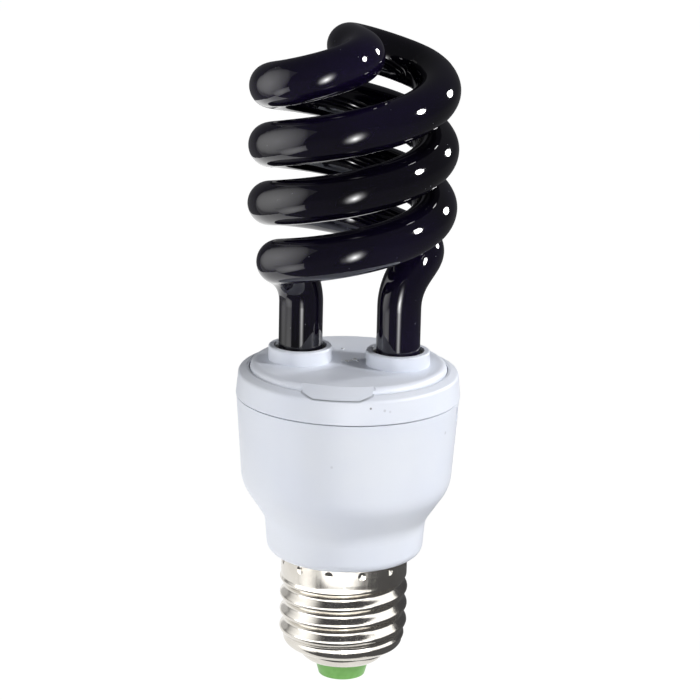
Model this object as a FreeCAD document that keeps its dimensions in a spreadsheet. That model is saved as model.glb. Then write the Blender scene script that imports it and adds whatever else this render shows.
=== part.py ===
import FreeCAD, Part
import math
import os
import re
import Sketcher
from FreeCAD import Placement, Rotation, Vector

# Spiral fluorescent black-light lamp on an E27 screw cap. It stands on its centre contact:
# the origin is the middle of the contact's face, +Z runs up the lamp's axis, and the two
# glass legs stand side by side on the X axis. The notch of the cover ring faces -Y.

os.makedirs("parts", exist_ok=True)
doc = FreeCAD.newDocument("SpiralLamp")

# Driving sizes in millimetres and degrees.
sizes = {
    # Screw cap: rolled shell, insulator and contact.
    "cap_height": 27.5,
    "skirt_height": 4.6,
    "skirt_radius": 12.95,
    "shell_wall": 0.45,
    "thread_radius": 13.15,
    "thread_depth": 1.05,
    "thread_pitch": 3.629,
    "thread_fade": 1.2,
    "thread_start_angle": 153.7,
    "end_radius": 12.3,
    "end_height": 4.8,
    "thread_end_fade": 1.5,
    "waist_radius": 9.0,
    "waist_height": 2.5,
    "crease_height": 0.35,
    "lip_radius": 5.85,
    "punch_count": 12,
    "punch_angle": 22.8,
    "punch_radius": 0.9,
    "punch_depth": 0.38,
    "punch_drop": 1.55,
    "insulator_height": 3.35,
    "insulator_tip_radius": 4.8,
    "insulator_flange_ratio": 0.55,
    "insulator_rise_ratio": 0.3,
    "insulator_flange_height": 1.2,
    "cap_fit": 0.05,
    "plug_fit": 0.15,
    "contact_proud": 0.45,
    "contact_radius": 3.3,
    "contact_bevel": 0.6,
    "stem_radius": 0.9,
    "stem_stand": 0.5,
    # Ballast housing.
    "housing_height": 33.2,
    "housing_wall": 1.5,
    "housing_draft": 1.3,
    "neck_radius": 15.9,
    "neck_draft": 0.55,
    "neck_height": 7.5,
    "neck_round": 2.0,
    "shoulder_height": 7.3,
    "shoulder_hollow": 6.0,
    "shoulder_round": 8.0,
    "stub_length": 2.9,
    "stub_wall": 1.4,
    "ledge_width": 1.5,
    "ledge_thickness": 1.2,
    "window_width": 6.0,
    "window_height": 3.2,
    "window_drop": 0.8,
    # Cover ring.
    "seam_gap": 0.25,
    "ring_height": 5.4,
    "ring_taper": 0.45,
    "ring_slope_width": 1.65,
    "ring_slope_height": 0.75,
    "ring_lip": 0.5,
    "ring_round": 0.8,
    "ring_overhang": 0.1,
    "ring_ledge": 1.6,
    "ring_ledge_thickness": 1.6,
    "spigot_wall": 1.3,
    "spigot_depth": 6.3,
    "spigot_fit": 0.1,
    "hook_fit": 0.2,
    "hook_sink": 0.35,
    # Tube plate with its two collars and its key.
    "plate_thickness": 2.2,
    "plate_proud": 1.25,
    "plate_margin": 3.55,
    "plate_round": 1.4,
    "plate_fit": 0.2,
    "collar_gap": 0.9,
    "collar_wall": 1.1,
    "collar_height": 2.9,
    "collar_round": 0.35,
    "notch_width": 14.0,
    "notch_floor_width": 9.3,
    "key_setback": 0.2,
    "key_fit": 0.12,
    "cement_drop": 0.8,
    # Glass tube.
    "tube_radius": 4.45,
    "coil_bore_radius": 11.93,
    "coil_gap": 2.905,
    "coil_sweep_angle": 532.2,
    "leg_offset": 9.9,
    "leg_rise": 8.7,
    "leg_bend_height": 11.4,
    "leg_bend_angle": 45.3,
    "leg_bend_lower_ratio": 0.78,
    "leg_bend_upper_ratio": 0.683,
    "bridge_rise": 5.6,
    "bridge_angle": 28.8,
    "bridge_lead_ratio": 0.423,
    "bridge_arm_ratio": 0.971,
    "glass_depth": 5.5,
    "glass_end_round": 1.6,
    # Ballast circuit inside the housing.
    "board_thickness": 1.6,
    "board_fit": 0.3,
    "lead_radius": 0.3,
    "lead_offset": 1.8,
    "wire_radius": 0.6,
    "wire_drop": 0.3,
    "wire_angle": 198.0,
    "can_radius": 5.0,
    "can_height": 17.5,
    "can_x": 7.2,
    "can_y": 4.0,
    "can_crimp_height": 1.6,
    "can_crimp_depth": 0.45,
    "choke_x": -7.5,
    "choke_y": 4.5,
    "choke_width": 16.0,
    "choke_depth": 5.0,
    "choke_height": 14.0,
    "choke_yoke": 2.2,
    "choke_leg": 2.0,
    "winding_fit": 0.1,
    "winding_build": 2.6,
    "toroid_x": 3.0,
    "toroid_y": -9.5,
    "toroid_radius": 4.75,
    "toroid_bore": 2.2,
    "toroid_height": 4.5,
    "toroid_round": 0.8,
    "film_x": -7.0,
    "film_y": -8.0,
    "film_width": 10.0,
    "film_depth": 4.5,
    "film_height": 9.0,
    "film_round": 1.2,
    "transistor_x": 12.5,
    "transistor_y": -4.0,
    "transistor_step": 6.0,
    "transistor_radius": 2.4,
    "transistor_flat": 1.3,
    "transistor_height": 4.8,
    "diode_radius": 1.35,
    "diode_length": 5.2,
    "diode_x": 4.0,
    "diode_y": 12.2,
    "diode_step": 3.2,
}

# Sizes that follow from the driving ones: where pieces seat on, fit in or line up with others.
derived = {
    "thread_top": "cap_height - skirt_height",
    "insulator_top": "contact_proud + insulator_height",
    "thread_bottom": "insulator_top + end_height",
    "waist_top": "insulator_top + waist_height",
    "bowl_foot": "waist_top + crease_height",
    "plug_radius": "lip_radius - plug_fit",
    "flange_foot": "insulator_top + shell_wall",
    "flange_radius": "lip_radius + insulator_flange_ratio * (waist_radius - lip_radius - shell_wall)",
    "flange_edge": "flange_foot + insulator_rise_ratio * (waist_height - shell_wall)",
    "flange_top": "flange_edge + insulator_flange_height",
    "stub_radius": "skirt_radius - shell_wall - cap_fit",
    "rim_height": "cap_height + housing_height",
    "seam_height": "rim_height + seam_gap",
    "ring_top": "seam_height + ring_height",
    "plate_top": "ring_top + plate_proud",
    "plate_bottom": "plate_top - plate_thickness",
    "collar_top": "plate_top + collar_height",
    "collar_bore": "tube_radius + collar_gap",
    "collar_radius": "collar_bore + collar_wall",
    "plate_radius": "leg_offset + collar_radius + plate_margin",
    "ring_bore": "plate_radius + plate_fit",
    "ring_top_radius": "ring_bore + ring_lip",
    "ring_shoulder_radius": "ring_top_radius + ring_slope_width",
    "ring_radius": "ring_shoulder_radius + ring_taper",
    "ring_shoulder": "ring_top - ring_slope_height",
    "rim_radius": "ring_radius - ring_overhang",
    "bore_radius": "rim_radius - housing_wall - housing_draft / 3",
    "shoulder_radius": "rim_radius - housing_draft",
    "neck_top_radius": "neck_radius + neck_draft",
    "neck_top": "cap_height + neck_height",
    "shoulder_top": "neck_top + shoulder_height",
    "inner_radius": "shoulder_radius - housing_wall",
    "spigot_radius": "bore_radius - spigot_fit",
    "spigot_bore": "spigot_radius - spigot_wall",
    "board_top": "seam_height - spigot_depth",
    "board_seat": "board_top - board_thickness",
    "board_radius": "bore_radius - board_fit",
    "ledge_bore": "bore_radius - ledge_width",
    "ledge_foot": "board_seat - ledge_thickness - ledge_width",
    "window_top": "rim_height - window_drop",
    "window_foot": "window_top - window_height",
    "glass_end": "plate_bottom - glass_depth",
    "leg_top": "collar_top + leg_rise",
    "coil_radius": "coil_bore_radius + tube_radius",
    "coil_pitch": "2 * (2 * tube_radius + coil_gap)",
    "coil_foot": "leg_top + leg_bend_height",
}

sheet = doc.addObject("Spreadsheet::Sheet", "Sizes")
for row, (alias, number) in enumerate(sizes.items(), 1):
    sheet.set("A%d" % row, alias)
    sheet.set("B%d" % row, str(number))
    sheet.setAlias("B%d" % row, alias)
doc.recompute()


def bind(text):
    """The expression behind a size, a derived size or a sum of them."""
    def swap(match):
        word = match.group(0)
        if word in derived:
            return "(" + bind(derived[word]) + ")"
        return "Sizes." + word if word in sizes else word
    return re.sub(r"[a-z_][a-z_0-9]*", swap, text)


def value(text):
    """The number that such an expression has now."""
    result = sheet.evalExpression(bind(text))
    return float(getattr(result, "Value", result))


def new_body(name):
    body = doc.addObject("PartDesign::Body", name)
    body.Label = name
    return body


def new_sketch(body, name, role):
    """A sketch on one of the body's own origin planes."""
    plane = [f for f in body.Origin.OriginFeatures if f.Role == role][0]
    sketch = body.newObject("Sketcher::SketchObject", name)
    sketch.AttachmentSupport = [(plane, "")]
    sketch.MapMode = "FlatFace"
    return sketch


def hold(sketch, kind, geometry, point, text):
    """Holds a point's distance from the sketch's origin to a size."""
    number = value(text)
    if abs(number) < 1e-9:
        axis = -2 if kind == "DistanceX" else -1
        sketch.addConstraint(Sketcher.Constraint("PointOnObject", geometry, point, axis))
        return
    index = sketch.addConstraint(Sketcher.Constraint(kind, -1, 1, geometry, point, number))
    sketch.setExpression("Constraints[%d]" % index, bind(text))


def add_outline(sketch, corners):
    """A closed outline of straight lines, each corner held by its two sizes."""
    points = [Vector(value(x), value(y), 0) for x, y in corners]
    first = sketch.GeometryCount
    count = len(points)
    for k in range(count):
        sketch.addGeometry(Part.LineSegment(points[k], points[(k + 1) % count]), False)
    for k in range(count):
        after = first + (k + 1) % count
        sketch.addConstraint(Sketcher.Constraint("Coincident", first + k, 2, after, 1))
    for k, (x, y) in enumerate(corners):
        hold(sketch, "DistanceX", first + k, 1, x)
        hold(sketch, "DistanceY", first + k, 1, y)


def add_circle(sketch, x, y, radius):
    """A circle whose centre and radius are held by their sizes."""
    centre = Vector(value(x), value(y), 0)
    circle = Part.Circle(centre, Vector(0, 0, 1), value(radius))
    geometry = sketch.addGeometry(circle, False)
    hold(sketch, "DistanceX", geometry, 3, x)
    hold(sketch, "DistanceY", geometry, 3, y)
    index = sketch.addConstraint(Sketcher.Constraint("Radius", geometry, value(radius)))
    sketch.setExpression("Constraints[%d]" % index, bind(radius))


def turn(body, name, corners, kind="PartDesign::Revolution"):
    """Turns an outline of (radius, height) corners about the lamp's axis."""
    sketch = new_sketch(body, name + "Outline", "XZ_Plane")
    add_outline(sketch, corners)
    feature = body.newObject(kind, name)
    feature.Profile = sketch
    feature.ReferenceAxis = (sketch, ["V_Axis"])
    feature.Angle = 360.0
    doc.recompute()
    return feature


def flat(body, name, kind, sketch, start, length):
    """Pads or pockets a level sketch upwards from a height by a length."""
    sketch.setExpression("AttachmentOffset.Base.z", bind(start))
    feature = body.newObject(kind, name)
    feature.Profile = sketch
    feature.setExpression("Length", bind(length))
    feature.Reversed = kind == "PartDesign::Pocket"
    doc.recompute()
    return feature


def round_edges(body, name, base, size, places):
    """Rounds the circular edges of a feature at the given radii and heights."""
    names = []
    for k, edge in enumerate(base.Shape.Edges, 1):
        curve = edge.Curve
        if not isinstance(curve, Part.Circle):
            continue
        for radius, height in places:
            level = abs(curve.Center.z - value(height)) < 1e-4
            if level and abs(curve.Radius - value(radius)) < 1e-4:
                names.append("Edge%d" % k)
    feature = body.newObject("PartDesign::Fillet", name)
    feature.Base = (base, names)
    feature.setExpression("Radius", bind(size))
    doc.recompute()
    return feature


pieces = []

# Ballast housing: a turned shell with a drafted wall, a soft shoulder, a neck that rests on
# the cap's rim, and a stub that the cap is punched onto. A ledge inside carries the board.
housing = new_body("ballast_housing")
shell = turn(housing, "HousingShell", [
    ("stub_radius - stub_wall", "cap_height - stub_length"),
    ("stub_radius", "cap_height - stub_length"),
    ("stub_radius", "cap_height"),
    ("neck_radius", "cap_height"),
    ("neck_top_radius", "neck_top"),
    ("shoulder_radius", "shoulder_top"),
    ("rim_radius", "rim_height"),
    ("bore_radius", "rim_height"),
    ("bore_radius", "board_seat"),
    ("ledge_bore", "board_seat"),
    ("ledge_bore", "board_seat - ledge_thickness"),
    ("inner_radius", "ledge_foot"),
    ("inner_radius", "shoulder_top"),
    ("neck_top_radius - housing_wall", "neck_top"),
    ("neck_radius - housing_wall", "cap_height + housing_wall"),
    ("stub_radius - stub_wall", "cap_height + housing_wall"),
])
shell = round_edges(housing, "NeckHollow", shell, "shoulder_hollow", [("neck_top_radius", "neck_top")])
shell = round_edges(housing, "ShoulderRound", shell, "shoulder_round",
                    [("shoulder_radius", "shoulder_top")])
shell = round_edges(housing, "NeckRound", shell, "neck_round", [("neck_radius", "cap_height")])
sketch = new_sketch(housing, "WindowOutline", "YZ_Plane")
add_outline(sketch, [
    ("-window_width / 2", "window_foot"),
    ("window_width / 2", "window_foot"),
    ("window_width / 2", "window_top"),
    ("-window_width / 2", "window_top"),
])
windows = housing.newObject("PartDesign::Pocket", "LatchWindows")
windows.Profile = sketch
windows.Type = "ThroughAll"
windows.Midplane = True
doc.recompute()
pieces.append(housing)

# Cover ring: sits over the housing's rim with a thin seam, slopes in to the tube plate,
# carries the plate on an inner ledge, and clamps the board with its spigot. Two hooks on
# the spigot sit in the housing's windows, and the front is notched for the plate's key.
ring = new_body("cover_ring")
wall = turn(ring, "RingWall", [
    ("spigot_bore", "board_top"),
    ("spigot_radius", "board_top"),
    ("spigot_radius", "seam_height"),
    ("ring_radius", "seam_height"),
    ("ring_shoulder_radius", "ring_shoulder"),
    ("ring_top_radius", "ring_top"),
    ("ring_bore", "ring_top"),
    ("ring_bore", "plate_bottom"),
    ("ring_bore - ring_ledge", "plate_bottom"),
    ("ring_bore - ring_ledge", "plate_bottom - ring_ledge_thickness"),
    ("spigot_bore", "plate_bottom - ring_ledge_thickness - (spigot_bore - ring_bore + ring_ledge)"),
])
wall = round_edges(ring, "RingRound", wall, "ring_round", [("ring_shoulder_radius", "ring_shoulder")])
sketch = new_sketch(ring, "HookOutline", "XY_Plane")
for side in ("", "-"):
    add_outline(sketch, [
        (side + "(spigot_bore + spigot_wall / 2)", "-window_width / 2 + hook_fit"),
        (side + "(rim_radius - hook_sink - housing_draft / 4)", "-window_width / 2 + hook_fit"),
        (side + "(rim_radius - hook_sink - housing_draft / 4)", "window_width / 2 - hook_fit"),
        (side + "(spigot_bore + spigot_wall / 2)", "window_width / 2 - hook_fit"),
    ])
flat(ring, "LatchHooks", "PartDesign::Pad", sketch, "window_foot + hook_fit",
     "window_height - 2 * hook_fit")
sketch = new_sketch(ring, "NotchOutline", "XZ_Plane")
add_outline(sketch, [
    ("-notch_floor_width / 2", "ring_shoulder"),
    ("notch_floor_width / 2", "ring_shoulder"),
    ("notch_width / 2", "ring_top"),
    ("notch_width / 2", "plate_top"),
    ("-notch_width / 2", "plate_top"),
    ("-notch_width / 2", "ring_top"),
])
notch = ring.newObject("PartDesign::Pocket", "KeyNotch")
notch.Profile = sketch
notch.setExpression("Length", bind("ring_radius + 1"))
notch.Reversed = True
doc.recompute()
pieces.append(ring)

# Tube plate: a disc with a rounded rim, two collars for the legs and a sloped key in front.
plate = new_body("tube_plate")
disc = turn(plate, "PlateDisc", [
    ("0", "plate_bottom"),
    ("plate_radius", "plate_bottom"),
    ("plate_radius", "plate_top"),
    ("0", "plate_top"),
])
disc = round_edges(plate, "PlateRound", disc, "plate_round", [("plate_radius", "plate_top")])
sketch = new_sketch(plate, "KeyOutline", "XZ_Plane")
add_outline(sketch, [
    ("-notch_floor_width / 2 + key_fit", "ring_shoulder + key_fit"),
    ("notch_floor_width / 2 - key_fit", "ring_shoulder + key_fit"),
    ("notch_width / 2 - key_fit", "ring_top"),
    ("notch_width / 2 - key_fit", "plate_top"),
    ("-notch_width / 2 + key_fit", "plate_top"),
    ("-notch_width / 2 + key_fit", "ring_top"),
])
key = plate.newObject("PartDesign::Pad", "Key")
key.Profile = sketch
key.setExpression("Length", bind("ring_radius + 1"))
doc.recompute()
sketch = new_sketch(plate, "KeySlopeOutline", "YZ_Plane")
add_outline(sketch, [
    ("-(plate_radius - plate_round)", "plate_top"),
    ("-(ring_shoulder_radius - key_setback)", "ring_shoulder + key_fit"),
    ("-(ring_shoulder_radius - key_setback)", "ring_shoulder - 1"),
    ("-(ring_radius + notch_width)", "ring_shoulder - 1"),
    ("-(ring_radius + notch_width)", "plate_top + 1"),
    ("-(plate_radius - plate_round)", "plate_top + 1"),
])
slope = plate.newObject("PartDesign::Groove", "KeySlope")
slope.Profile = sketch
slope.ReferenceAxis = (sketch, ["V_Axis"])
slope.Midplane = True
slope.setExpression("Angle", bind("2 * asin(notch_width / 2 / (plate_radius - plate_round))"))
doc.recompute()
sketch = new_sketch(plate, "CollarOutline", "XY_Plane")
add_circle(sketch, "-leg_offset", "0", "collar_radius")
add_circle(sketch, "leg_offset", "0", "collar_radius")
collars = flat(plate, "Collars", "PartDesign::Pad", sketch, "plate_bottom",
               "plate_thickness + collar_height")
collars = round_edges(plate, "CollarRound", collars, "collar_round", [("collar_radius", "collar_top")])
sketch = new_sketch(plate, "BoreOutline", "XY_Plane")
add_circle(sketch, "-leg_offset", "0", "collar_bore")
add_circle(sketch, "leg_offset", "0", "collar_bore")
bores = plate.newObject("PartDesign::Pocket", "Bores")
bores.Profile = sketch
bores.Type = "ThroughAll"
bores.Midplane = True
doc.recompute()
pieces.append(plate)

# Cement that holds each glass leg in its collar, a little below the collar's edge.
for name, side in (("tube_cement_left", "-leg_offset"), ("tube_cement_right", "leg_offset")):
    cement = new_body(name)
    sketch = new_sketch(cement, name + "_outline", "XY_Plane")
    add_circle(sketch, side, "0", "collar_bore")
    add_circle(sketch, side, "0", "tube_radius")
    flat(cement, name + "_pad", "PartDesign::Pad", sketch, "plate_bottom",
         "plate_thickness + collar_height - cement_drop")
    pieces.append(cement)


# Glass tube: one bent tube, the same on both sides of the axis. Each leg rises from the
# plate, bends out onto a right-handed coil, and ends in half of the bridge across the top.
def coil_point(angle):
    turned = math.radians(angle)
    rise = value("coil_pitch") * (angle - value("leg_bend_angle")) / 360
    reach = value("coil_radius")
    return Vector(reach * math.cos(turned), reach * math.sin(turned), value("coil_foot") + rise)


def coil_direction(angle):
    turned = math.radians(angle)
    reach = value("coil_radius")
    climb = value("coil_pitch") / (2 * math.pi)
    return Vector(-reach * math.sin(turned), reach * math.cos(turned), climb).normalize()


def bezier(poles):
    curve = Part.BezierCurve()
    curve.setPoles(poles)
    return curve.toShape()


coil_start = value("leg_bend_angle")
coil_end = coil_start + value("coil_sweep_angle")
leg_x = value("leg_offset")
foot = Vector(leg_x, 0, value("glass_end"))
knee = Vector(leg_x, 0, value("leg_top"))
bend_rise = Vector(0, 0, value("leg_bend_lower_ratio * leg_bend_height"))
bend_reach = coil_direction(coil_start) * value("leg_bend_upper_ratio * leg_bend_height")
lead = coil_direction(coil_end) * value("bridge_lead_ratio * coil_radius")
crown = Vector(0, 0, coil_point(coil_end).z + value("bridge_rise"))
lean = math.radians(value("bridge_angle"))
arm = Vector(-math.sin(lean), math.cos(lean), 0) * value("bridge_arm_ratio * coil_radius")


def coil_arc(start, end):
    """A stretch of the coil, no more than a quarter turn long."""
    arc = Part.BSplineCurve()
    arc.interpolate(Points=[coil_point(start + (end - start) * k / 6) for k in range(7)],
                    InitialTangent=coil_direction(start), FinalTangent=coil_direction(end))
    return arc.toShape()


arcs = int(math.ceil(value("coil_sweep_angle") / 90))
stops = [coil_start + value("coil_sweep_angle") * k / arcs for k in range(arcs + 1)]
half = [Part.makeLine(foot, knee)]
half.append(bezier([knee, knee + bend_rise, coil_point(coil_start) - bend_reach, coil_point(coil_start)]))
half.extend(coil_arc(start, end) for start, end in zip(stops, stops[1:]))
half.append(bezier([coil_point(coil_end), coil_point(coil_end) + lead, crown - arm, crown]))
other = [edge.copy() for edge in half]
for edge in other:
    edge.rotate(Vector(0, 0, 0), Vector(0, 0, 1), 180)
centreline = doc.addObject("Part::Feature", "TubeCentreline")
centreline.Shape = Part.Wire(half + other[::-1])
section = doc.addObject("Part::Circle", "TubeSection")
section.setExpression("Radius", bind("tube_radius"))
section.setExpression("Placement.Base.x", bind("leg_offset"))
section.setExpression("Placement.Base.z", bind("glass_end"))
sweep = doc.addObject("Part::Sweep", "TubeSweep")
sweep.Sections = [section]
sweep.Spine = (centreline, ["Edge%d" % (k + 1) for k in range(len(centreline.Shape.Edges))])
sweep.Solid = True
sweep.Frenet = True
doc.recompute()
tube = doc.addObject("Part::Fillet", "discharge_tube")
tube.Label = "discharge_tube"
tube.Base = sweep
tube.Edges = [(k, value("glass_end_round"), value("glass_end_round"))
              for k, edge in enumerate(sweep.Shape.Edges, 1)
              if edge.BoundBox.ZMax < value("glass_end") + 1e-3]
doc.recompute()
pieces.append(tube)

# Screw shell: thin sheet with a rolled right-handed thread between the plain skirt at the
# top and the end that curves in to the lip round the insulator. The thread fades out at
# both ends. The skirt is punched onto the housing's stub all round.
def thread_reach(height):
    """Crest radius and groove depth of the rolled thread at a height."""
    fade = value("thread_fade")
    into_top = min(1.0, max(0.0, (value("thread_top") - height) / fade))
    into_end = min(1.0, max(0.0, (height - value("thread_bottom")) / value("thread_end_fade")))
    soft_top = into_top * into_top * (3 - 2 * into_top)
    soft_end = into_end * into_end * (3 - 2 * into_end)
    crest = value("skirt_radius") + (value("thread_radius") - value("skirt_radius")) * soft_top
    crest = value("end_radius") + (crest - value("end_radius")) * soft_end
    return crest, value("thread_depth") * soft_top * soft_end


def round_rows(centre_radius, reach, foot, rise):
    """Stations up a quarter of an ellipse, from level to upright."""
    turns = [math.radians(15 * k) for k in range(7)]
    return [(centre_radius + reach * math.sin(t), foot + rise * (1 - math.cos(t)), 0.0) for t in turns]


def shell_rows(inset):
    """Stations up one face of the sheet: crest radius, height and groove depth."""
    lip = value("lip_radius")
    waist = value("waist_radius")
    rows = round_rows(lip, waist - lip - inset, value("insulator_top") + inset, value("waist_height") - inset)
    bowl = value("thread_bottom - bowl_foot")
    rows += round_rows(waist, value("end_radius") - waist - inset, value("bowl_foot") + inset, bowl - inset)
    length = value("thread_top") - value("thread_bottom")
    count = int(math.ceil(length / (value("thread_pitch") / 9)))
    for k in range(1, count + 1):
        height = value("thread_bottom") + length * k / count
        crest, depth = thread_reach(height)
        rows.append((crest - inset, height, depth))
    for k in range(1, 7):
        height = value("thread_top") + value("skirt_height") * k / 6
        rows.append((value("skirt_radius") - inset, height, 0.0))
    return rows


def rolled_face(rows):
    """A face of the sheet through its stations."""
    around = 36
    grid = []
    for crest, height, depth in rows:
        line = []
        for k in range(around + 1):
            angle = 2 * math.pi * (k % around) / around
            wave = 2 * math.pi * height / value("thread_pitch") - angle
            wave = wave - math.radians(value("thread_start_angle"))
            reach = crest - depth * (1 - math.cos(wave)) / 2
            line.append(Vector(reach * math.cos(angle), reach * math.sin(angle), height))
        grid.append(line)
    surface = Part.BSplineSurface()
    surface.interpolate(grid)
    return surface.toShape()


def level_edge(face, height):
    """The face's round edge at a height."""
    boxes = [(edge.BoundBox, edge) for edge in face.Edges]
    return [edge for box, edge in boxes if max(abs(box.ZMin - height), abs(box.ZMax - height)) < 1e-3][0]


outside = rolled_face(shell_rows(0.0))
inside = rolled_face(shell_rows(value("shell_wall")))
rim = Part.makeFace([Part.Wire([level_edge(face, value("cap_height"))]) for face in (outside, inside)],
                    "Part::FaceMakerBullseye")
lip = Part.makeRuledSurface(level_edge(outside, value("insulator_top")),
                            level_edge(inside, value("flange_foot")))
sheet_metal = Part.makeShell([outside, inside, rim, lip])
sheet_metal.sewShape()
rolled = doc.addObject("Part::Feature", "RolledSheet")
rolled.Shape = Part.makeSolid(sheet_metal)
punches = doc.addObject("Part::Feature", "Punches")
cones = []
for k in range(int(value("punch_count"))):
    spread = value("punch_radius") / value("punch_depth")
    cone = Part.makeCone(0, value("punch_radius + 0.2"), value("punch_depth") + 0.2 / spread,
                         Vector(value("skirt_radius - punch_depth"), 0, value("cap_height - punch_drop")),
                         Vector(1, 0, 0))
    cone.rotate(Vector(0, 0, 0), Vector(0, 0, 1), value("punch_angle") + 360 / value("punch_count") * k)
    cones.append(cone)
punches.Shape = Part.makeCompound(cones)
screw_shell = doc.addObject("Part::Cut", "screw_shell")
screw_shell.Label = "screw_shell"
screw_shell.Base = rolled
screw_shell.Tool = punches
doc.recompute()
pieces.append(screw_shell)

# Insulator: a tapered plug through the shell's lip, with a flange that seats inside the end.
insulator = new_body("cap_insulator")
turn(insulator, "InsulatorPlug", [
    ("stem_radius + cap_fit", "contact_proud"),
    ("insulator_tip_radius", "contact_proud"),
    ("plug_radius", "insulator_top"),
    ("plug_radius", "flange_foot"),
    ("flange_radius", "flange_edge"),
    ("flange_radius", "flange_top"),
    ("stem_radius + cap_fit", "flange_top"),
])
pieces.append(insulator)

# Centre contact: a shallow button with a stem through the insulator.
contact = new_body("centre_contact")
turn(contact, "ContactButton", [
    ("0", "0"),
    ("contact_radius - contact_bevel", "0"),
    ("contact_radius", "contact_proud"),
    ("stem_radius", "contact_proud"),
    ("stem_radius", "flange_top + stem_stand"),
    ("0", "flange_top + stem_stand"),
])
pieces.append(contact)

# Circuit board: a disc clamped between the housing's ledge and the ring's spigot.
board = new_body("circuit_board")
sketch = new_sketch(board, "BoardOutline", "XY_Plane")
add_circle(sketch, "0", "0", "board_radius")
flat(board, "BoardDisc", "PartDesign::Pad", sketch, "board_seat", "board_thickness")
pieces.append(board)

# Electrolytic capacitor: a can with a crimped neck, hanging from the board.
can = new_body("electrolytic_capacitor")
turn(can, "Can", [
    ("0", "board_seat - can_height"),
    ("can_radius", "board_seat - can_height"),
    ("can_radius", "board_seat - can_crimp_height - 2 * can_crimp_depth"),
    ("can_radius - can_crimp_depth", "board_seat - can_crimp_height - can_crimp_depth"),
    ("can_radius", "board_seat - can_crimp_height"),
    ("can_radius", "board_seat"),
    ("0", "board_seat"),
])
can.setExpression("Placement.Base.x", bind("can_x"))
can.setExpression("Placement.Base.y", bind("can_y"))
pieces.append(can)

# Choke: a closed ferrite core with two windows, and its winding round the middle leg.
core = new_body("choke_core")
sketch = new_sketch(core, "CoreOutline", "XZ_Plane")
add_outline(sketch, [
    ("-choke_width / 2", "board_seat - choke_height"),
    ("choke_width / 2", "board_seat - choke_height"),
    ("choke_width / 2", "board_seat"),
    ("-choke_width / 2", "board_seat"),
])
for side in ("", "-"):
    add_outline(sketch, [
        (side + "choke_leg", "board_seat - choke_height + choke_yoke"),
        (side + "(choke_width / 2 - choke_leg)", "board_seat - choke_height + choke_yoke"),
        (side + "(choke_width / 2 - choke_leg)", "board_seat - choke_yoke"),
        (side + "choke_leg", "board_seat - choke_yoke"),
    ])
pad = core.newObject("PartDesign::Pad", "CorePad")
pad.Profile = sketch
pad.setExpression("Length", bind("choke_depth"))
pad.Midplane = True
doc.recompute()
core.setExpression("Placement.Base.x", bind("choke_x"))
core.setExpression("Placement.Base.y", bind("choke_y"))
pieces.append(core)

winding = new_body("choke_winding")
sketch = new_sketch(winding, "WindingOutline", "XY_Plane")
for across, deep in (
    ("choke_width / 2 - choke_leg - winding_fit", "choke_depth / 2 + winding_build"),
    ("choke_leg + winding_fit", "choke_depth / 2 + winding_fit"),
):
    add_outline(sketch, [
        ("-(%s)" % across, "-(%s)" % deep),
        (across, "-(%s)" % deep),
        (across, deep),
        ("-(%s)" % across, deep),
    ])
flat(winding, "WindingPad", "PartDesign::Pad", sketch,
     "board_seat - choke_height + choke_yoke + winding_fit",
     "choke_height - 2 * choke_yoke - 2 * winding_fit")
winding.setExpression("Placement.Base.x", bind("choke_x"))
winding.setExpression("Placement.Base.y", bind("choke_y"))
pieces.append(winding)

# Feedback transformer: a small wound ring core.
toroid = new_body("toroid_transformer")
wound = turn(toroid, "ToroidRing", [
    ("toroid_bore", "board_seat - toroid_height"),
    ("toroid_radius", "board_seat - toroid_height"),
    ("toroid_radius", "board_seat"),
    ("toroid_bore", "board_seat"),
])
round_edges(toroid, "ToroidRound", wound, "toroid_round", [
    ("toroid_radius", "board_seat - toroid_height"),
    ("toroid_bore", "board_seat - toroid_height"),
])
toroid.setExpression("Placement.Base.x", bind("toroid_x"))
toroid.setExpression("Placement.Base.y", bind("toroid_y"))
pieces.append(toroid)

# Resonant capacitor: a dipped film capacitor.
film = new_body("resonant_capacitor")
sketch = new_sketch(film, "FilmOutline", "XY_Plane")
add_outline(sketch, [
    ("-film_width / 2", "-film_depth / 2"),
    ("film_width / 2", "-film_depth / 2"),
    ("film_width / 2", "film_depth / 2"),
    ("-film_width / 2", "film_depth / 2"),
])
pad = flat(film, "FilmPad", "PartDesign::Pad", sketch, "board_seat - film_height", "film_height")
dip = film.newObject("PartDesign::Fillet", "FilmRound")
dip.Base = (pad, ["Edge%d" % k for k, edge in enumerate(pad.Shape.Edges, 1)
                  if edge.BoundBox.ZLength > 1e-3 or edge.BoundBox.ZMax < value("board_seat") - 1e-3])
dip.setExpression("Radius", bind("film_round"))
film.setExpression("Placement.Base.x", bind("film_x"))
film.setExpression("Placement.Base.y", bind("film_y"))
doc.recompute()
pieces.append(film)

# Two switching transistors: moulded bodies with one flat side.
for k, name in enumerate(("transistor_one", "transistor_two")):
    package = new_body(name)
    sketch = new_sketch(package, name + "_outline", "XY_Plane")
    add_circle(sketch, "0", "0", "transistor_radius")
    flat(package, name + "_pad", "PartDesign::Pad", sketch,
         "board_seat - transistor_height", "transistor_height")
    sketch = new_sketch(package, name + "_flat", "XY_Plane")
    add_outline(sketch, [
        ("transistor_flat", "-2 * transistor_radius"),
        ("2 * transistor_radius", "-2 * transistor_radius"),
        ("2 * transistor_radius", "2 * transistor_radius"),
        ("transistor_flat", "2 * transistor_radius"),
    ])
    flat(package, name + "_cut", "PartDesign::Pocket", sketch,
         "board_seat - transistor_height", "transistor_height")
    package.setExpression("Placement.Base.x", bind("transistor_x"))
    package.setExpression("Placement.Base.y", bind("transistor_y - %d * transistor_step" % k))
    pieces.append(package)

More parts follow.
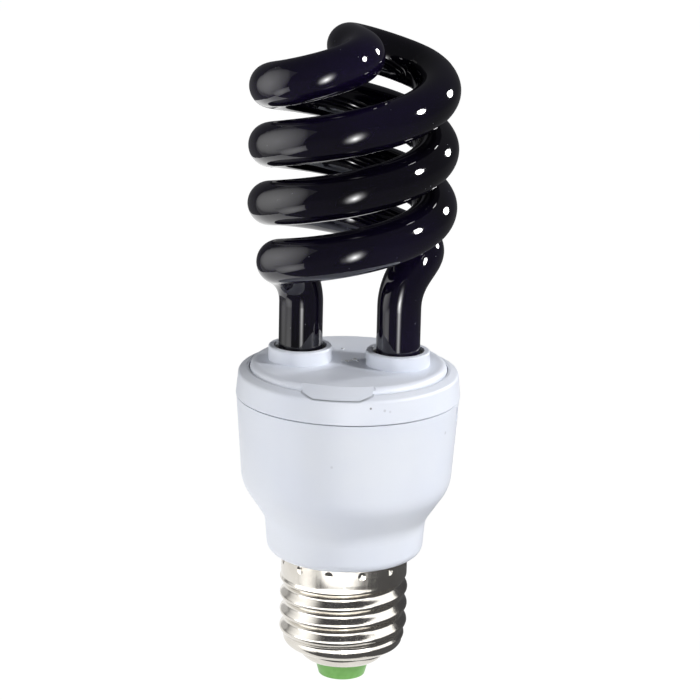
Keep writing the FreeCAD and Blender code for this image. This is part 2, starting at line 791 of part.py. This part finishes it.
# Four rectifier diodes, lying against the board.
rods = []
for across in ("-diode_x", "diode_x"):
    for step in ("0", "1"):
        rod = doc.addObject("Part::Cylinder", "Diode")
        rod.setExpression("Radius", bind("diode_radius"))
        rod.setExpression("Height", bind("diode_length"))
        rod.Placement = Placement(Vector(0, 0, 0), Rotation(Vector(0, 1, 0), 90))
        rod.setExpression("Placement.Base.x", bind(across + " - diode_length / 2"))
        rod.setExpression("Placement.Base.y", bind("diode_y + %s * diode_step" % step))
        rod.setExpression("Placement.Base.z", bind("board_seat - diode_radius"))
        rods.append(rod)
diodes = doc.addObject("Part::Compound", "rectifier_diodes")
diodes.Label = "rectifier_diodes"
diodes.Links = rods
pieces.append(diodes)

# Four lead-in wires, two from the end of each glass leg down to the board.
pins = []
for across in ("-leg_offset", "leg_offset"):
    for along in ("-lead_offset", "lead_offset"):
        pin = doc.addObject("Part::Cylinder", "Lead")
        pin.setExpression("Radius", bind("lead_radius"))
        pin.setExpression("Height", bind("glass_end - board_top"))
        pin.setExpression("Placement.Base.x", bind(across))
        pin.setExpression("Placement.Base.y", bind(along))
        pin.setExpression("Placement.Base.z", bind("board_top"))
        pins.append(pin)
leads = doc.addObject("Part::Compound", "tube_leads")
leads.Label = "tube_leads"
leads.Links = pins
pieces.append(leads)


# Supply wires: one straight up from the contact's stem, and one from the inside of the shell's
# skirt that turns up through the stub. Both end at the board.
stem_end = "(flange_top + stem_stand)"
supply = doc.addObject("Part::Cylinder", "contact_wire")
supply.Label = "contact_wire"
supply.setExpression("Radius", bind("wire_radius"))
supply.setExpression("Height", bind("board_seat - " + stem_end))
supply.setExpression("Placement.Base.z", bind(stem_end))
pieces.append(supply)

wire_level = value("cap_height - stub_length - wire_radius - wire_drop")
wire_reach = value("stub_radius - stub_wall - wire_radius - wire_drop")
wire_bend = value("2 * wire_radius")
corner = Vector(wire_reach + wire_bend, 0, wire_level)
elbow = Vector(wire_reach, 0, wire_level + wire_bend)
slack = wire_bend * (1 - math.sqrt(0.5))
route = [
    Part.makeLine(Vector(value("stub_radius"), 0, wire_level), corner),
    Part.Arc(corner, Vector(wire_reach + slack, 0, wire_level + slack), elbow).toShape(),
    Part.makeLine(elbow, Vector(wire_reach, 0, value("board_seat"))),
]
wire_route = doc.addObject("Part::Feature", "ShellWireRoute")
wire_route.Shape = Part.Wire(route)
wire_section = doc.addObject("Part::Circle", "ShellWireSection")
wire_section.setExpression("Radius", bind("wire_radius"))
wire_section.Placement = Placement(Vector(0, 0, wire_level), Rotation(Vector(0, 1, 0), -90))
wire_section.setExpression("Placement.Base.x", bind("stub_radius"))
return_wire = doc.addObject("Part::Sweep", "shell_wire")
return_wire.Label = "shell_wire"
return_wire.Sections = [wire_section]
return_wire.Spine = (wire_route, ["Edge1", "Edge2", "Edge3"])
return_wire.Solid = True
return_wire.Frenet = True
return_wire.Placement = Placement(Vector(0, 0, 0), Rotation(Vector(0, 0, 1), value("wire_angle")))
pieces.append(return_wire)
doc.recompute()

# Every object is sound before anything is written.
for item in doc.Objects:
    if "Invalid" in item.State or "Error" in item.State:
        raise RuntimeError("%s is not sound: %s" % (item.Name, item.State))
for piece in pieces:
    if piece.Shape.isNull() or not piece.Shape.isValid() or not piece.Shape.Solids:
        raise RuntimeError("%s has no sound solid" % piece.Label)
for piece in pieces:
    piece.Shape.exportStep("parts/%s.step" % piece.Label)
    box = piece.Shape.BoundBox
    print("%-24s solids %d volume %9.1f  x %6.2f %6.2f  y %6.2f %6.2f  z %6.2f %6.2f" % (
        piece.Label, len(piece.Shape.Solids), piece.Shape.Volume,
        box.XMin, box.XMax, box.YMin, box.YMax, box.ZMin, box.ZMax))
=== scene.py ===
# %% [markdown]
# A spiral black light bulb: a dark glass tube wound into a double coil, cemented into a white
# plastic ballast housing, on a nickel-plated screw cap. The solids come ready made from the CAD
# model, in metres, with the cap's contact at the origin and the lamp's axis along Z. This lesson
# gives each of them a finish, adds the few crumbs that lie on the plate, and sets up the light
# and the camera of the photograph.

# %% Load the model
import math

import bpy
from mathutils import Matrix, Vector


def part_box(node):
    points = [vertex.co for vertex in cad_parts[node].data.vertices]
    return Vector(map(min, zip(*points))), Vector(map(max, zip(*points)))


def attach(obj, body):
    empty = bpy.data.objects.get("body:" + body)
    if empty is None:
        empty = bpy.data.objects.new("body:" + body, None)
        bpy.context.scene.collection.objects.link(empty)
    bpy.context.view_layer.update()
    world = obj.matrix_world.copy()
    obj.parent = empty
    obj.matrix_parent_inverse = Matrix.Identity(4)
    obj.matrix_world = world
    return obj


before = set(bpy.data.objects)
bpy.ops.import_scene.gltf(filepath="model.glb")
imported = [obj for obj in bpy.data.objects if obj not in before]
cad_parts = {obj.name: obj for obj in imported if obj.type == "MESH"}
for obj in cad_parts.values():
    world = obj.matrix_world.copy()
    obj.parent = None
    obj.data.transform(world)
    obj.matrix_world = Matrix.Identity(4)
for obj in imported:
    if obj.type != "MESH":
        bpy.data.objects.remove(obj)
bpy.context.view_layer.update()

MM = 0.001
print("nodes:", ", ".join(sorted(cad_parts)))

# %% [markdown]
# The camera comes first, because every later choice is judged through it. The photograph was
# taken from close by with a long lens, looking down at the lamp. Its distance, tilt and turn
# were found by fitting circles on the lamp, such as the seam and the thread, to the picture.
# A camera in Blender looks along its own -Z, so its matrix is built from three directions:
# right, up and back.

# %% Camera
CAMERA_DISTANCE = 560 * MM
CAMERA_TILT = math.radians(15.81)
CAMERA_TURN = math.radians(6.2)
CAMERA_ROLL = math.radians(1.35)
AIM_ASIDE = 0.20 * MM
AIM_HEIGHT = 69.88 * MM
FOCAL_PIXELS = 2779
FRAME_PIXELS = 700
SENSOR_WIDTH = 36

level = Vector((math.cos(CAMERA_TURN), math.sin(CAMERA_TURN), 0))
back = Vector((math.sin(CAMERA_TURN) * math.cos(CAMERA_TILT),
               -math.cos(CAMERA_TURN) * math.cos(CAMERA_TILT), math.sin(CAMERA_TILT)))
over = back.cross(level)
right = level * math.cos(CAMERA_ROLL) + over * math.sin(CAMERA_ROLL)
up = over * math.cos(CAMERA_ROLL) - level * math.sin(CAMERA_ROLL)
aim = level * AIM_ASIDE + Vector((0, 0, AIM_HEIGHT))

bpy.ops.object.select_all(action="DESELECT")
bpy.ops.object.camera_add()
camera = bpy.context.object
camera.data.sensor_width = SENSOR_WIDTH
camera.data.lens = SENSOR_WIDTH * FOCAL_PIXELS / FRAME_PIXELS
camera.data.clip_start = 10 * MM
camera.matrix_world = Matrix.Translation(aim + back * CAMERA_DISTANCE) @ Matrix(
    (right, up, back)).transposed().to_4x4()
bpy.context.scene.camera = camera
bpy.context.scene.view_settings.view_transform = "Standard"
print("lens %.1f mm" % camera.data.lens)

# %% [markdown]
# Materials are small networks of nodes. One function adds a node, sets its options and socket
# values and joins its inputs, so that each material reads as a list of what it is made of.
# Colours are written as sRGB hex values, as a colour picker shows them, and turned to the linear
# values that Blender counts in.


# %% Helpers for materials
def linear(code):
    """An sRGB hex colour as linear RGBA."""
    parts = [int(code[k:k + 2], 16) / 255 for k in (1, 3, 5)]
    return [c / 12.92 if c <= 0.04045 else ((c + 0.055) / 1.055) ** 2.4 for c in parts] + [1.0]


def add_node(tree, kind, values=None, links=None, **settings):
    """Adds a node with its settings, its socket values and its links."""
    made = tree.nodes.new("ShaderNode" + kind)
    for name, value in settings.items():
        setattr(made, name, value)
    for socket, value in (values or {}).items():
        made.inputs[socket].default_value = value
    for socket, source in (links or {}).items():
        tree.links.new(source, made.inputs[socket])
    return made


def new_material(name):
    """An empty material, its shader and the piece's own coordinates in metres."""
    material = bpy.data.materials.new(name)
    material.use_nodes = True
    tree = material.node_tree
    place = add_node(tree, "TexCoord").outputs["Object"]
    return material, tree, tree.nodes["Principled BSDF"], place


def per_mm(size):
    """The texture scale that gives a pattern of this size in millimetres."""
    return 1 / (size * MM)


def dress(material, *nodes):
    """Puts a material on CAD nodes."""
    for name in nodes:
        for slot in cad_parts[name].material_slots:
            slot.material = material
    print(material.name, "on", ", ".join(nodes))


# %% [markdown]
# The tube is filter glass: it passes ultraviolet and looks black, with a violet cast where light
# gets through. It was drawn, then bent hot, so its surface is as smooth as liquid with a slow
# waviness, and all that the eye gets is reflections. A mix of two very dark violets carries the
# cast, and a faint film from handling and a little dust make the reflections less perfect.

# %% Black filter glass
glass, tree, shader, place = new_material("black_filter_glass_drawn")
cast = add_node(tree, "TexNoise", {"Scale": per_mm(26), "Detail": 1.0}, {"Vector": place})
tint = add_node(tree, "ValToRGB", links={"Fac": cast.outputs["Fac"]})
tint.color_ramp.elements[0].position = 0.38
tint.color_ramp.elements[0].color = linear("#050409")
tint.color_ramp.elements[1].position = 0.66
tint.color_ramp.elements[1].color = linear("#100a22")
dust = add_node(tree, "TexVoronoi", {"Scale": per_mm(2.6), "Randomness": 1.0}, {"Vector": place})
grain = add_node(tree, "MapRange", {"From Min": 0.05, "From Max": 0.035, "To Max": 0.35},
                 {"Value": dust.outputs["Distance"]})
dusty = add_node(tree, "Mix", {7: linear("#9aa0a4")},
                 {"Factor": grain.outputs["Result"], 6: tint.outputs["Color"]}, data_type="RGBA")
tree.links.new(dusty.outputs[2], shader.inputs["Base Color"])
film = add_node(tree, "TexNoise", {"Scale": per_mm(7), "Detail": 4.0}, {"Vector": place})
haze = add_node(tree, "MapRange",
                {"From Min": 0.3, "From Max": 0.8, "To Min": 0.025, "To Max": 0.075},
                {"Value": film.outputs["Fac"]})
tree.links.new(haze.outputs["Result"], shader.inputs["Roughness"])
wave = add_node(tree, "TexNoise", {"Scale": per_mm(9), "Detail": 0.0}, {"Vector": place})
ripple = add_node(tree, "Bump", {"Strength": 0.25, "Distance": 0.05 * MM},
                  {"Height": wave.outputs["Fac"]})
tree.links.new(ripple.outputs["Normal"], shader.inputs["Normal"])
shader.inputs["IOR"].default_value = 1.65
dress(glass, "discharge_tube")

# %% [markdown]
# The housing, the cover ring and the plate are moulded in white polyester, slightly blue, with
# the satin of a spark-eroded mould. The grain is a tenth of a millimetre in life and is drawn a
# little coarser so that it shows. The few dark specks of dirt are spheres of distance around
# points on the surface, so each stays on its spot from every side. A painted shade darkens the
# joint between the plate's key and the ring, where the ring's edge stands proud of the key: it is
# drawn by the distance from the joint's line, seen from the front and folded at the middle, since
# the key is the same on both sides.


# %% Satin white plastic
def line_distance(tree, point, start, end):
    """How far a point is from the straight line between two points given in millimetres."""
    span = (Vector(end) - Vector(start)) * MM
    along = add_node(tree, "VectorMath", {1: Vector(start) * MM}, {0: point}, operation="SUBTRACT")
    share = add_node(tree, "VectorMath", {1: span / span.length_squared},
                     {0: along.outputs["Vector"]}, operation="DOT_PRODUCT")
    inside = add_node(tree, "MapRange", links={"Value": share.outputs["Value"]})
    foot = add_node(tree, "VectorMath", {0: span}, {"Scale": inside.outputs["Result"]},
                    operation="SCALE")
    away = add_node(tree, "VectorMath", operation="DISTANCE",
                    links={0: along.outputs["Vector"], 1: foot.outputs["Vector"]})
    return away.outputs["Value"]


# The right half of the key's outline, and how far in front of the axis it lies, in millimetres.
KEY_OUTLINE = ((0, 0, 65.6), (4.65, 0, 65.6), (7.0, 0, 66.35))
KEY_FRONT = -15
# Each speck's place and radius in millimetres, and how dark it is.
SPECKS = (
    (6.86, -21.29, 64.31, 0.28, 0.75),
    (9.50, -20.31, 63.74, 0.35, 0.22),
    (10.52, -19.84, 63.43, 0.30, 0.15),
    (-0.47, -21.79, 52.08, 0.40, 0.16),
    (20.52, -8.42, 56.19, 0.45, 0.20),
    (14.30, -6.67, 29.18, 0.30, 0.15),
    (-4.5, 20.9, 58.0, 0.30, 0.35),
    (-17.5, 13.0, 50.0, 0.28, 0.30),
)
plastic, tree, shader, place = new_material("white_polyester_moulded_satin")
cloud = add_node(tree, "TexNoise", {"Scale": per_mm(16), "Detail": 2.0}, {"Vector": place})
shade = add_node(tree, "ValToRGB", links={"Fac": cloud.outputs["Fac"]})
shade.color_ramp.elements[0].position = 0.35
shade.color_ramp.elements[0].color = linear("#e2e7f2")
shade.color_ramp.elements[1].position = 0.65
shade.color_ramp.elements[1].color = linear("#e7ebf3")
tone_specks_and_joint_shade = shade.outputs["Color"]
for x, y, z, radius, strength in SPECKS:
    reach = add_node(tree, "VectorMath", {1: (x * MM, y * MM, z * MM)}, {0: place},
                     operation="DISTANCE")
    spot = add_node(tree, "MapRange", {"From Min": radius * MM, "From Max": 0.5 * radius * MM,
                                       "To Max": strength}, {"Value": reach.outputs["Value"]})
    tone_specks_and_joint_shade = add_node(tree, "Mix", {7: linear("#2b2a30")},
                      {"Factor": spot.outputs["Result"], 6: tone_specks_and_joint_shade}, data_type="RGBA").outputs[2]
# Painted shade along the joint between the plate's key and the ring: darkest on the joint's line,
# gone a quarter millimetre from it, and only at the front.
axes = add_node(tree, "SeparateXYZ", links={"Vector": place})
folded = add_node(tree, "Math", links={0: axes.outputs["X"]}, operation="ABSOLUTE")
flat = add_node(tree, "CombineXYZ", links={"X": folded.outputs["Value"], "Z": axes.outputs["Z"]})
joint = add_node(tree, "Math", operation="MINIMUM", links={
    0: line_distance(tree, flat.outputs["Vector"], KEY_OUTLINE[0], KEY_OUTLINE[1]),
    1: line_distance(tree, flat.outputs["Vector"], KEY_OUTLINE[1], KEY_OUTLINE[2])})
joint_shade = add_node(tree, "MapRange", {"From Min": 0.26 * MM, "From Max": 0.06 * MM, "To Max": 0.5},
                {"Value": joint.outputs["Value"]})
front = add_node(tree, "Math", {1: KEY_FRONT * MM}, {0: axes.outputs["Y"]}, operation="LESS_THAN")
painted_joint_shade = add_node(tree, "Math", links={0: joint_shade.outputs["Result"], 1: front.outputs["Value"]},
                operation="MULTIPLY")
# The painted joint shade is mixed into the colour as a grey blue.
tone_specks_and_joint_shade = add_node(tree, "Mix", {7: linear("#7d828c")},
                  {"Factor": painted_joint_shade.outputs["Value"], 6: tone_specks_and_joint_shade}, data_type="RGBA").outputs[2]
tree.links.new(tone_specks_and_joint_shade, shader.inputs["Base Color"])
gloss = add_node(tree, "TexNoise", {"Scale": per_mm(5), "Detail": 3.0}, {"Vector": place})
satin = add_node(tree, "MapRange",
                 {"From Min": 0.3, "From Max": 0.7, "To Min": 0.36, "To Max": 0.46},
                 {"Value": gloss.outputs["Fac"]})
tree.links.new(satin.outputs["Result"], shader.inputs["Roughness"])
eroded = add_node(tree, "TexNoise", {"Scale": per_mm(0.28), "Detail": 2.0}, {"Vector": place})
texture = add_node(tree, "Bump", {"Strength": 0.18, "Distance": 0.02 * MM},
                   {"Height": eroded.outputs["Fac"]})
tree.links.new(texture.outputs["Normal"], shader.inputs["Normal"])
shader.inputs["IOR"].default_value = 1.5
dress(plastic, "ballast_housing", "cover_ring", "tube_plate")

# %% [markdown]
# The screw shell is thin brass sheet, drawn, rolled into a thread and plated with nickel. Drawing
# leaves fine lines along the axis, so the noise is stretched in Z: it changes every few tenths of
# a millimetre around the shell and hardly at all along it. The lines vary the roughness and tilt
# the surface a little, which spreads each reflection sideways. The CAD shell lacks one of the
# punches round its skirt, the one nearest the camera, so the plating shows it as a dent.

# %% Nickel plate
PUNCH_PLACE = (-1.62 * MM, -12.85 * MM, 25.95 * MM)
PUNCH_RADIUS = 0.9 * MM
PUNCH_DEPTH = 0.38 * MM
nickel, tree, shader, place = new_material("nickel_plated_brass_drawn")
along = add_node(tree, "Mapping", {"Scale": (1, 1, 0.03)}, {"Vector": place})
lines = add_node(tree, "TexNoise", {"Scale": per_mm(0.5), "Detail": 3.0},
                 {"Vector": along.outputs["Vector"]})
stain = add_node(tree, "TexNoise", {"Scale": per_mm(6), "Detail": 3.0}, {"Vector": place})
plate = add_node(tree, "ValToRGB", links={"Fac": stain.outputs["Fac"]})
plate.color_ramp.elements[0].position = 0.3
plate.color_ramp.elements[0].color = linear("#d2cdc4")
plate.color_ramp.elements[1].position = 0.7
plate.color_ramp.elements[1].color = linear("#e0dcd4")
tree.links.new(plate.outputs["Color"], shader.inputs["Base Color"])
polish = add_node(tree, "MapRange",
                  {"From Min": 0.3, "From Max": 0.7, "To Min": 0.13, "To Max": 0.21},
                  {"Value": lines.outputs["Fac"]})
tree.links.new(polish.outputs["Result"], shader.inputs["Roughness"])
brushed = add_node(tree, "Bump", {"Strength": 0.04, "Distance": 0.012 * MM},
                   {"Height": lines.outputs["Fac"]})
reach = add_node(tree, "VectorMath", {1: PUNCH_PLACE}, {0: place}, operation="DISTANCE")
pit = add_node(tree, "MapRange", {"From Max": PUNCH_RADIUS}, {"Value": reach.outputs["Value"]})
dent = add_node(tree, "Bump", {"Strength": 1.0, "Distance": PUNCH_DEPTH},
                {"Height": pit.outputs["Result"], "Normal": brushed.outputs["Normal"]})
tree.links.new(dent.outputs["Normal"], shader.inputs["Normal"])
shader.inputs["Metallic"].default_value = 1.0
dress(nickel, "screw_shell")

# %% [markdown]
# The remaining pieces share one recipe: two close colours in a grain of the right size, a
# roughness that follows the same grain, and a shallow bump. What differs is what the real
# material is, so each gets its own line. Most of them are shut away inside the housing.


# %% Insulator, contact, cement and the ballast's parts
def grained(name, dark, light, grain_mm, rough, depth_mm, metallic=0.0):
    """A material with a fine grain in its colour, its roughness and its surface."""
    material, tree, shader, place = new_material(name)
    grain = add_node(tree, "TexNoise", {"Scale": per_mm(grain_mm), "Detail": 3.0},
                     {"Vector": place})
    tone = add_node(tree, "ValToRGB", links={"Fac": grain.outputs["Fac"]})
    tone.color_ramp.elements[0].position = 0.35
    tone.color_ramp.elements[0].color = linear(dark)
    tone.color_ramp.elements[1].position = 0.65
    tone.color_ramp.elements[1].color = linear(light)
    tree.links.new(tone.outputs["Color"], shader.inputs["Base Color"])
    polish = add_node(tree, "MapRange", {"From Min": 0.3, "From Max": 0.7, "To Min": 0.85 * rough,
                                         "To Max": 1.15 * rough}, {"Value": grain.outputs["Fac"]})
    tree.links.new(polish.outputs["Result"], shader.inputs["Roughness"])
    bump = add_node(tree, "Bump", {"Strength": 0.4, "Distance": depth_mm * MM},
                    {"Height": grain.outputs["Fac"]})
    tree.links.new(bump.outputs["Normal"], shader.inputs["Normal"])
    shader.inputs["Metallic"].default_value = metallic
    return material


# Bright green moulded plastic, with the soft sheen of a warm mould.
dress(grained("green_plastic_moulded", "#5e9544", "#669c4d", 1.2, 0.38, 0.01), "cap_insulator")
# Tinned brass: silvery, dulled by the dip.
dress(grained("tinned_brass_dipped", "#b9b8b2", "#cfcec8", 0.8, 0.30, 0.01, 1.0), "centre_contact")
# Grey cement, dull and gritty.
cement = grained("basing_cement_set", "#8d8d8a", "#a9a8a4", 0.35, 0.85, 0.06)
dress(cement, "tube_cement_left", "tube_cement_right")
# Paper laminate board, tan and fibrous.
dress(grained("paper_laminate_pressed", "#b08a4e", "#c39c5c", 0.5, 0.55, 0.01), "circuit_board")
# Shrink sleeve over the capacitor's can, dark blue and glossy.
dress(grained("vinyl_sleeve_shrunk", "#141b33", "#1a2340", 2.0, 0.25, 0.01),
      "electrolytic_capacitor")
# Ferrite, a sintered black ceramic.
dress(grained("ferrite_sintered", "#25262a", "#34353a", 0.3, 0.6, 0.02),
      "choke_core", "toroid_transformer")
# Enamelled copper: metal under a thin amber varnish.
dress(grained("copper_wire_enamelled", "#8f4a1f", "#b4622c", 0.35, 0.3, 0.05, 1.0), "choke_winding")
# Dipped resin, brick red and glassy.
dress(grained("epoxy_dipped", "#8a2a18", "#9c341f", 2.5, 0.2, 0.03), "resonant_capacitor")
# Moulded epoxy, black and matt.
dress(grained("epoxy_moulded", "#17171a", "#222226", 0.25, 0.6, 0.01),
      "transistor_one", "transistor_two", "rectifier_diodes")
# Nickel lead wire, drawn bright.
dress(grained("nickel_wire_drawn", "#b8b6b0", "#c8c6c0", 0.3, 0.25, 0.01, 1.0), "tube_leads")
# Silicone sleeve on the cap's wires, chalky white.
dress(grained("silicone_sleeve_extruded", "#d2d2ce", "#dededb", 0.6, 0.6, 0.01),
      "contact_wire", "shell_wire")

# %% [markdown]
# Some crumbs lie on the plate between the two collars, left from cementing the glass. Each starts
# as an icosphere, is squeezed flat in edit mode and roughened by moving its points at random.
# The random moves are seeded, so every run gives the same crumbs.

# %% Crumbs on the plate
# Each crumb's place on the plate and its radius, in millimetres.
CRUMBS = ((-0.37, -0.59, 0.42), (0.50, -0.15, 0.36), (1.10, 0.85, 0.46), (1.88, -0.11, 0.22),
          (-1.39, 0.14, 0.2), (-2.18, 8.49, 0.3))
PLATE_THICKNESS = 2.2 * MM
plate_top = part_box("tube_cement_left")[0].z + PLATE_THICKNESS
bpy.ops.object.select_all(action="DESELECT")
crumbs = []
for k, (x, y, size) in enumerate(CRUMBS):
    bpy.ops.mesh.primitive_ico_sphere_add(subdivisions=3, radius=size * MM)
    bpy.ops.object.mode_set(mode="EDIT")
    bpy.ops.mesh.select_all(action="SELECT")
    bpy.ops.transform.vertex_random(offset=0.16 * size * MM, uniform=0.3, normal=0.7, seed=k)
    bpy.ops.transform.resize(value=(1.0, 0.75, 0.55))
    bpy.ops.transform.translate(value=(x * MM, y * MM, plate_top + 0.3 * size * MM))
    bpy.ops.mesh.normals_make_consistent(inside=False)
    bpy.ops.object.mode_set(mode="OBJECT")
    bpy.ops.object.shade_smooth()
    crumbs.append(bpy.context.object)
for crumb in crumbs:
    crumb.select_set(True)
bpy.context.view_layer.objects.active = crumbs[0]
bpy.ops.object.join()
crumb_heap = bpy.context.object
crumb_heap.name = "cement_crumbs"
crumb_heap.data.materials.append(
    grained("basing_cement_crumbled", "#c4c6c8", "#e4e6e8", 0.5, 0.7, 0.05))
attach(crumb_heap, "root")
print("crumbs:", len(CRUMBS), "on the plate at %.2f mm" % (plate_top / MM))

# %% [markdown]
# The photograph has a plain white ground. A black gloss tube mirrors whatever stands around it,
# so the ground is made in two parts that look alike: a sheet close to the lamp, which the glass
# and the nickel mirror, and a wide floor around it, which mirrors are told to ignore, because in
# the photograph the room in front of the lamp was dark.


# %% Floor
def white_ground(name, size, centre, lights_lamp):
    """A white plane for the lamp to stand on."""
    bpy.ops.object.select_all(action="DESELECT")
    bpy.ops.mesh.primitive_plane_add(size=1)
    ground = bpy.context.object
    ground.name = name
    bpy.ops.object.mode_set(mode="EDIT")
    bpy.ops.mesh.select_all(action="SELECT")
    bpy.ops.transform.resize(value=(size[0], size[1], 1))
    bpy.ops.transform.translate(value=centre)
    bpy.ops.object.mode_set(mode="OBJECT")
    ground.data.materials.append(paper)
    ground.visible_glossy = lights_lamp
    ground.visible_diffuse = lights_lamp
    return ground


paper, tree, shader, place = new_material("white_paper_lit")
fibre = add_node(tree, "TexNoise", {"Scale": per_mm(3)}, {"Vector": place})
tooth = add_node(tree, "Bump", {"Strength": 0.1, "Distance": 0.02 * MM},
                 {"Height": fibre.outputs["Fac"]})
tree.links.new(tooth.outputs["Normal"], shader.inputs["Normal"])
shader.inputs["Base Color"].default_value = linear("#404040")
shader.inputs["Roughness"].default_value = 0.9
shader.inputs["Emission Color"].default_value = (1, 1, 1, 1)
shader.inputs["Emission Strength"].default_value = 1.0
white_ground("floor_wide", (8, 8), (0, 0, -0.4 * MM), False)
white_ground("floor_sheet", (0.137, 0.414), (-0.0565, 0.193, -0.1 * MM), True)
print("floor made")

# %% [markdown]
# The light is read off the glass. Two small lamps stand to the right, one beside the lamp and one
# behind it: they give the bright ovals on the right of each turn and the shadow between the
# collars. A glowing card in front, brightest in its middle, draws the streaks on the legs and the
# soft ovals on the coil, and one on the left gives the broad grey reflection with the sharp edge.
# Two broad lights, one in front and one at the floor, only lift the white plastic: mirrors are
# told to ignore them. The nickel cap mirrors more than glass does, so it gets four white cards
# of its own, linked to the screw shell alone, and the two lamps leave it out. The power of each
# light is worked out from how bright its face should look.


# %% Helpers for lights
def area_light(name, centre, target, size, radiance, shape="ELLIPSE"):
    """A soft light whose face has the given brightness."""
    bpy.ops.object.select_all(action="DESELECT")
    bpy.ops.object.light_add(type="AREA")
    light = bpy.context.object
    light.name = name
    light.data.shape = shape
    light.data.size = size[0]
    light.data.size_y = size[1]
    face = size[0] * size[1] * (1.0 if shape == "RECTANGLE" else math.pi / 4)
    light.data.energy = radiance * math.pi * face
    facing = (Vector(centre) - Vector(target)).normalized()
    turned = facing.to_track_quat("Z", "Y").to_matrix().to_4x4()
    light.matrix_world = Matrix.Translation(Vector(centre)) @ turned
    light.visible_camera = False
    return light


def around(turn, height, distance):
    """A place around the lamp: degrees from the front towards the right, and up."""
    turn = math.radians(turn)
    height = math.radians(height)
    reach = distance * math.cos(height)
    rise = distance * math.sin(height)
    return MIDDLE + Vector((reach * math.sin(turn), -reach * math.cos(turn), rise))


def glow_card(name, centre, size, middle, edge, power):
    """A thin card that shines brightest in its middle."""
    material, tree, shader, place = new_material(name + "_lit")
    broad = [0.0 if side == CARD_THICKNESS else 2 / side for side in size]
    offset = add_node(tree, "VectorMath", {1: centre}, {0: place}, operation="SUBTRACT")
    share = add_node(tree, "VectorMath", {1: broad}, {0: offset.outputs["Vector"]},
                     operation="MULTIPLY")
    away = add_node(tree, "VectorMath", links={0: share.outputs["Vector"]}, operation="LENGTH")
    near = add_node(tree, "MapRange", {"From Min": 1.0, "From Max": 0.0},
                    {"Value": away.outputs["Value"]})
    fall = add_node(tree, "Math", {1: power}, {0: near.outputs["Result"]}, operation="POWER")
    shine = add_node(tree, "MapRange", {"To Min": edge, "To Max": middle},
                     {"Value": fall.outputs["Value"]})
    shader.inputs["Base Color"].default_value = linear("#000000")
    shader.inputs["Emission Color"].default_value = (1, 1, 1, 1)
    tree.links.new(shine.outputs["Result"], shader.inputs["Emission Strength"])
    bpy.ops.object.select_all(action="DESELECT")
    bpy.ops.mesh.primitive_cube_add(size=1)
    card = bpy.context.object
    card.name = name
    bpy.ops.object.mode_set(mode="EDIT")
    bpy.ops.mesh.select_all(action="SELECT")
    bpy.ops.transform.resize(value=size)
    bpy.ops.transform.translate(value=centre)
    bpy.ops.object.mode_set(mode="OBJECT")
    card.data.materials.append(material)
    card.visible_camera = False


MIDDLE = Vector((0, 0, 0.1))
CARD_THICKNESS = 0.001
print("light helpers ready")

# %% [markdown]
# Each lamp has a place, a size and a brightness. A glowing card also has a brightness at its edge
# and a power that says how steeply it fades. The front card fades to the brightness of the room,
# so that its outline doesn't show in the glass. The low card on the left lights the legs.

# %% Lamps and cards
lamps = [area_light("lamp_right", around(79, 29, 0.7), MIDDLE, (0.13, 0.22), 48),
         area_light("lamp_behind", around(130, 20, 0.7), MIDDLE, (0.13, 0.20), 37)]
glow_card("light_front", (0.032, -0.2, 0.062), (0.13, CARD_THICKNESS, 0.265), 22, 0.085, 3.6)
glow_card("card_left", (-0.15, -0.026, 0.118), (CARD_THICKNESS, 0.228, 0.264), 1.8, 0.25, 0.7)
glow_card("card_left_low", (-0.149, -0.086, -0.006), (CARD_THICKNESS, 0.138, 0.1), 2.0, 0.9, 0.7)
soft = [area_light("fill_front", (0.05, -0.88, 0.36), MIDDLE, (1.8, 0.6), 1.0, "RECTANGLE"),
        area_light("floor_bounce", (0, 0, 0.0002), (0, 0, 1), (0.5, 0.5), 0.38, "RECTANGLE")]
for light in soft:
    light.visible_glossy = False
print("lamps:", ", ".join(light.name for light in lamps + soft))

# %% [markdown]
# Light linking says which pieces a light falls on. The cards for the cap stand low in front, at
# the left, at the right and behind, where the photograph's nickel shows white or grey.

# %% Cards for the cap
CAP_CARDS = {
    "card_cap": ((0, -0.06, 0.027), (0, 0, 0.027), (0.176, 0.045), 2.4),
    "card_cap_side": ((-0.088, -0.036, 0.027), (0, -0.036, 0.027), (0.048, 0.045), 1.8),
    "card_cap_right": ((0.178, -0.032, 0.105), (0, 0, 0.02), (0.24, 0.15), 1.7),
    "card_cap_back": ((-0.10, 0.13, 0.03), (0, 0, 0.02), (0.18, 0.09), 0.5),
}
cap_only = bpy.data.collections.new("cap_only")
all_but_cap = bpy.data.collections.new("all_but_cap")
for name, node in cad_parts.items():
    (cap_only if name == "screw_shell" else all_but_cap).objects.link(node)
all_but_cap.objects.link(crumb_heap)
for name, (centre, target, size, radiance) in CAP_CARDS.items():
    card = area_light(name, centre, target, size, radiance, "RECTANGLE")
    card.light_linking.receiver_collection = cap_only
for lamp in lamps:
    lamp.light_linking.receiver_collection = all_but_cap
print("cards for the cap:", ", ".join(CAP_CARDS))

# %% [markdown]
# The room around is dark grey, a little lighter below the horizon than above it.

# %% Room
world = bpy.data.worlds.new("dark_room")
world.use_nodes = True
bpy.context.scene.world = world
tree = world.node_tree
view = add_node(tree, "TexCoord")
sky = add_node(tree, "SeparateXYZ", links={"Vector": view.outputs["Generated"]})
height = add_node(tree, "MapRange", {"From Min": -1.0, "From Max": 1.0},
                  {"Value": sky.outputs["Z"]})
room = add_node(tree, "ValToRGB", links={"Fac": height.outputs["Result"]})
room.color_ramp.elements[0].position = 0.42
room.color_ramp.elements[0].color = (0.10, 0.10, 0.105, 1)
room.color_ramp.elements[1].position = 0.52
room.color_ramp.elements[1].color = (0.07, 0.07, 0.077, 1)
tree.links.new(room.outputs["Color"], tree.nodes["Background"].inputs["Color"])
print("room made")
